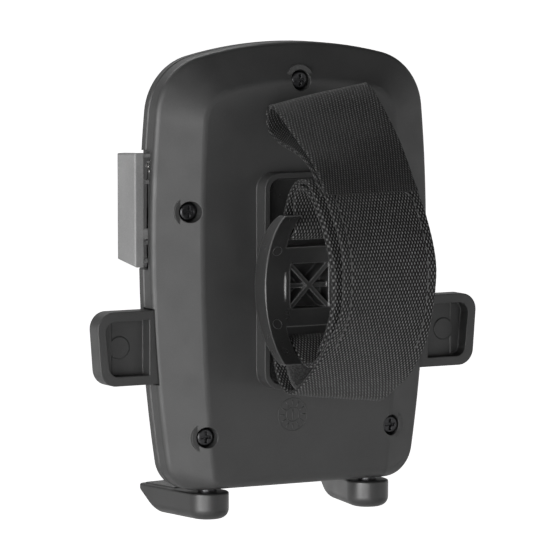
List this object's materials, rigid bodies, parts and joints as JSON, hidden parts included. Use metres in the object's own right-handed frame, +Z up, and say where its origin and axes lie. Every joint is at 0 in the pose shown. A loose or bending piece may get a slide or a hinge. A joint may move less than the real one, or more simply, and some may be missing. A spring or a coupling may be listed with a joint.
{
  "type": "phone handlebar mount",
  "caption": "Phone holder for a handlebar, with sprung side jaws, a release button, swinging feet and a webbing strap over a curved saddle.",
  "frame": {"origin": "centre of the handlebar held by the strap", "axes": "+X along the handlebar, +Y from the handlebar towards the phone, +Z up"},
  "size_m": [0.1026, 0.0718, 0.1122],
  "materials": {
    "shell_black": "fine-textured matte ABS",
    "gloss_black": "satin moulded nylon",
    "grey_plastic": "smooth grey ABS",
    "arm_black": "fine-textured matte ABS",
    "foot_black": "satin moulded nylon",
    "soft_rubber": "matte",
    "webbing_black": "plain-woven nylon",
    "hook_black": "fuzzy hook and loop",
    "screw_black": "black oxide",
    "spring_steel": "bright",
    "pin_steel": "turned",
    "inner_white": "acetal"
  },
  "bodies": {
    "cradle": {"rear_cover": "shell_black", "front_cover": "shell_black", "phone_pad": "soft_rubber", "cover_screws": "screw_black", "plate_screws": "screw_black", "saddle_screws": "screw_black", "pinion_pin": "pin_steel", "mechanism_plate": "pin_steel", "arm_spring": "spring_steel", "button_spring": "spring_steel", "pawl_pin": "pin_steel", "pawl_spring": "spring_steel", "left_foot_guide": "inner_white", "right_foot_guide": "inner_white", "handlebar_saddle": "gloss_black", "strap_webbing": "webbing_black", "strap_hook_tape": "hook_black"},
    "left_arm_body": {"left_arm": "arm_black", "left_jaw_pad": "soft_rubber"},
    "right_arm_body": {"right_arm": "arm_black", "right_jaw_pad": "soft_rubber"},
    "pinion_body": {"sync_pinion": "inner_white"},
    "button_body": {"release_button": "grey_plastic"},
    "pawl_body": {"ratchet_pawl": "inner_white"},
    "left_stem_body": {"left_foot_stem": "screw_black", "left_foot_screw": "screw_black"},
    "right_stem_body": {"right_foot_stem": "screw_black", "right_foot_screw": "screw_black"},
    "left_foot_body": {"left_foot": "foot_black", "left_foot_pad": "soft_rubber"},
    "right_foot_body": {"right_foot": "foot_black", "right_foot_pad": "soft_rubber"}
  },
  "joints": [
    {"name": "left_arm_slide", "type": "slide", "parent": "cradle", "child": "left_arm_body", "axis": [1, 0, 0], "range_m": [0, 0.0072], "stiffness_N_per_m": 60, "springref_m": -0.012},
    {"name": "right_arm_slide", "type": "slide", "parent": "cradle", "child": "right_arm_body", "axis": [-1, 0, 0], "range_m": [0, 0.0072]},
    {"name": "pinion_turn", "type": "hinge", "parent": "cradle", "child": "pinion_body", "pos_m": [0, 0.0334, -0.0149], "axis": [0, 1, 0], "range_deg": [0, 82.6]},
    {"name": "button_press", "type": "slide", "parent": "cradle", "child": "button_body", "axis": [1, 0, 0], "range_m": [0, 0.0026], "stiffness_N_per_m": 500, "springref_m": -0.002},
    {"name": "pawl_turn", "type": "hinge", "parent": "cradle", "child": "pawl_body", "pos_m": [-0.012, 0.0331, 0.0045], "axis": [0, 1, 0], "range_deg": [0, 22.4]},
    {"name": "left_foot_drop", "type": "slide", "parent": "cradle", "child": "left_stem_body", "axis": [0, 0, -1], "range_m": [0, 0.006]},
    {"name": "left_foot_swivel", "type": "hinge", "parent": "left_stem_body", "child": "left_foot_body", "pos_m": [-0.0218, 0.0327, -0.0524], "axis": [0, 0, 1], "range_deg": [-60, 50]},
    {"name": "right_foot_drop", "type": "slide", "parent": "cradle", "child": "right_stem_body", "axis": [0, 0, -1], "range_m": [0, 0.006]},
    {"name": "right_foot_swivel", "type": "hinge", "parent": "right_stem_body", "child": "right_foot_body", "pos_m": [0.0218, 0.0327, -0.0524], "axis": [0, 0, -1], "range_deg": [-60, 50]}
  ],
  "couplings": [
    {"joint": "right_arm_slide", "follows": "left_arm_slide", "ratio": 1},
    {"joint": "pinion_turn", "follows": "left_arm_slide", "rad_per_m": 200},
    {"joint": "pawl_turn", "follows": "button_press", "rad_per_m": 150}
  ]
}
